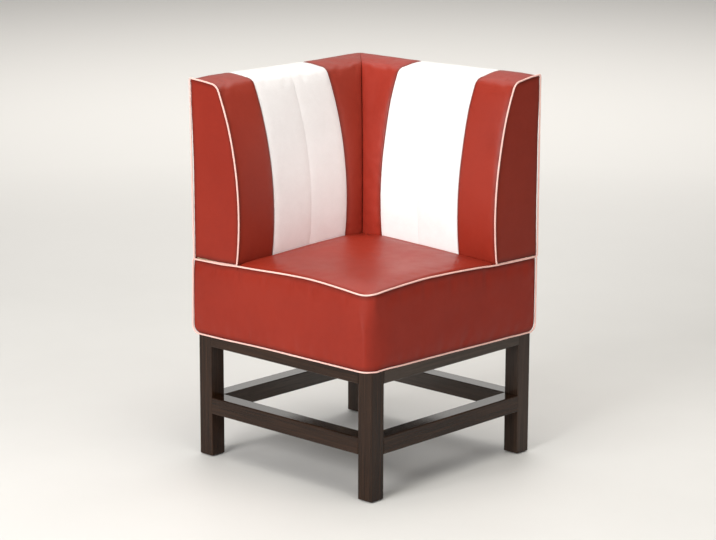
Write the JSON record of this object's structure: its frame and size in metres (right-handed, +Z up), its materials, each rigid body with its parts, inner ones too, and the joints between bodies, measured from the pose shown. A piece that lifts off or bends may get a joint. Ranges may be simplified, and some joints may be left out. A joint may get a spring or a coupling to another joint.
{
  "type": "corner booth seat",
  "caption": "Upholstered corner banquette seat with two mitred bowed backs, contrast stripes and piping, on a square wooden leg frame with stretchers.",
  "frame": {"origin": "on the floor under the centre of the plan", "axes": "+Z up; -Y is the open front, +X the open right side; the backs stand on the -X (left) and +Y (rear) sides"},
  "size_m": [0.5796, 0.5796, 0.9167],
  "materials": {
    "stained_beech": "dark espresso stain under satin lacquer",
    "raw_timber": "planed, unfinished",
    "plywood": "sanded, unfinished",
    "foam": "open-cell foam",
    "red_leatherette": "fine-grained, satin",
    "white_leatherette": "fine-grained, satin",
    "white_piping": "smooth, satin",
    "black_lining": "non-woven, matte",
    "nylon": "moulded, matte",
    "zinc_steel": "zinc plated"
  },
  "bodies": {
    "root": {"back_bearer_left": "raw_timber", "back_bearer_rear": "raw_timber", "back_fixing_bolts": "zinc_steel", "back_tee_nuts": "zinc_steel", "corner_block_screws": "zinc_steel", "corner_blocks": "raw_timber", "left_back_bottom_rail": "raw_timber", "left_back_end_cover": "red_leatherette", "left_back_foam": "foam", "left_back_front_board": "plywood", "left_back_panel_inner": "red_leatherette", "left_back_panel_outer": "red_leatherette", "left_back_piping": "white_piping", "left_back_rear_cover": "red_leatherette", "left_back_rib_inner": "plywood", "left_back_rib_middle": "plywood", "left_back_rib_outer": "plywood", "left_back_stripe_inner": "white_leatherette", "left_back_stripe_outer": "white_leatherette", "left_back_top_rail": "raw_timber", "leg_front_left": "stained_beech", "leg_front_right": "stained_beech", "leg_glides": "nylon", "leg_rear_left": "stained_beech", "leg_rear_right": "stained_beech", "rear_back_bottom_rail": "raw_timber", "rear_back_end_cover": "red_leatherette", "rear_back_foam": "foam", "rear_back_front_board": "plywood", "rear_back_panel_inner": "red_leatherette", "rear_back_panel_outer": "red_leatherette", "rear_back_piping": "white_piping", "rear_back_rear_cover": "red_leatherette", "rear_back_rib_inner": "plywood", "rear_back_rib_middle": "plywood", "rear_back_rib_outer": "plywood", "rear_back_stripe_inner": "white_leatherette", "rear_back_stripe_outer": "white_leatherette", "rear_back_top_rail": "raw_timber", "seat_box_front": "plywood", "seat_box_left": "plywood", "seat_box_rear": "plywood", "seat_box_right": "plywood", "seat_boxing_front": "plywood", "seat_boxing_rear": "plywood", "seat_cover_top": "red_leatherette", "seat_deck": "plywood", "seat_dust_cover": "black_lining", "seat_fixing_screws": "zinc_steel", "seat_foam": "foam", "seat_piping": "white_piping", "seat_side_padding": "foam", "stretcher_front": "stained_beech", "stretcher_left": "stained_beech", "stretcher_rear": "stained_beech", "stretcher_right": "stained_beech", "top_rail_front": "stained_beech", "top_rail_left": "stained_beech", "top_rail_rear": "stained_beech", "top_rail_right": "stained_beech"}
  },
  "joints": []
}
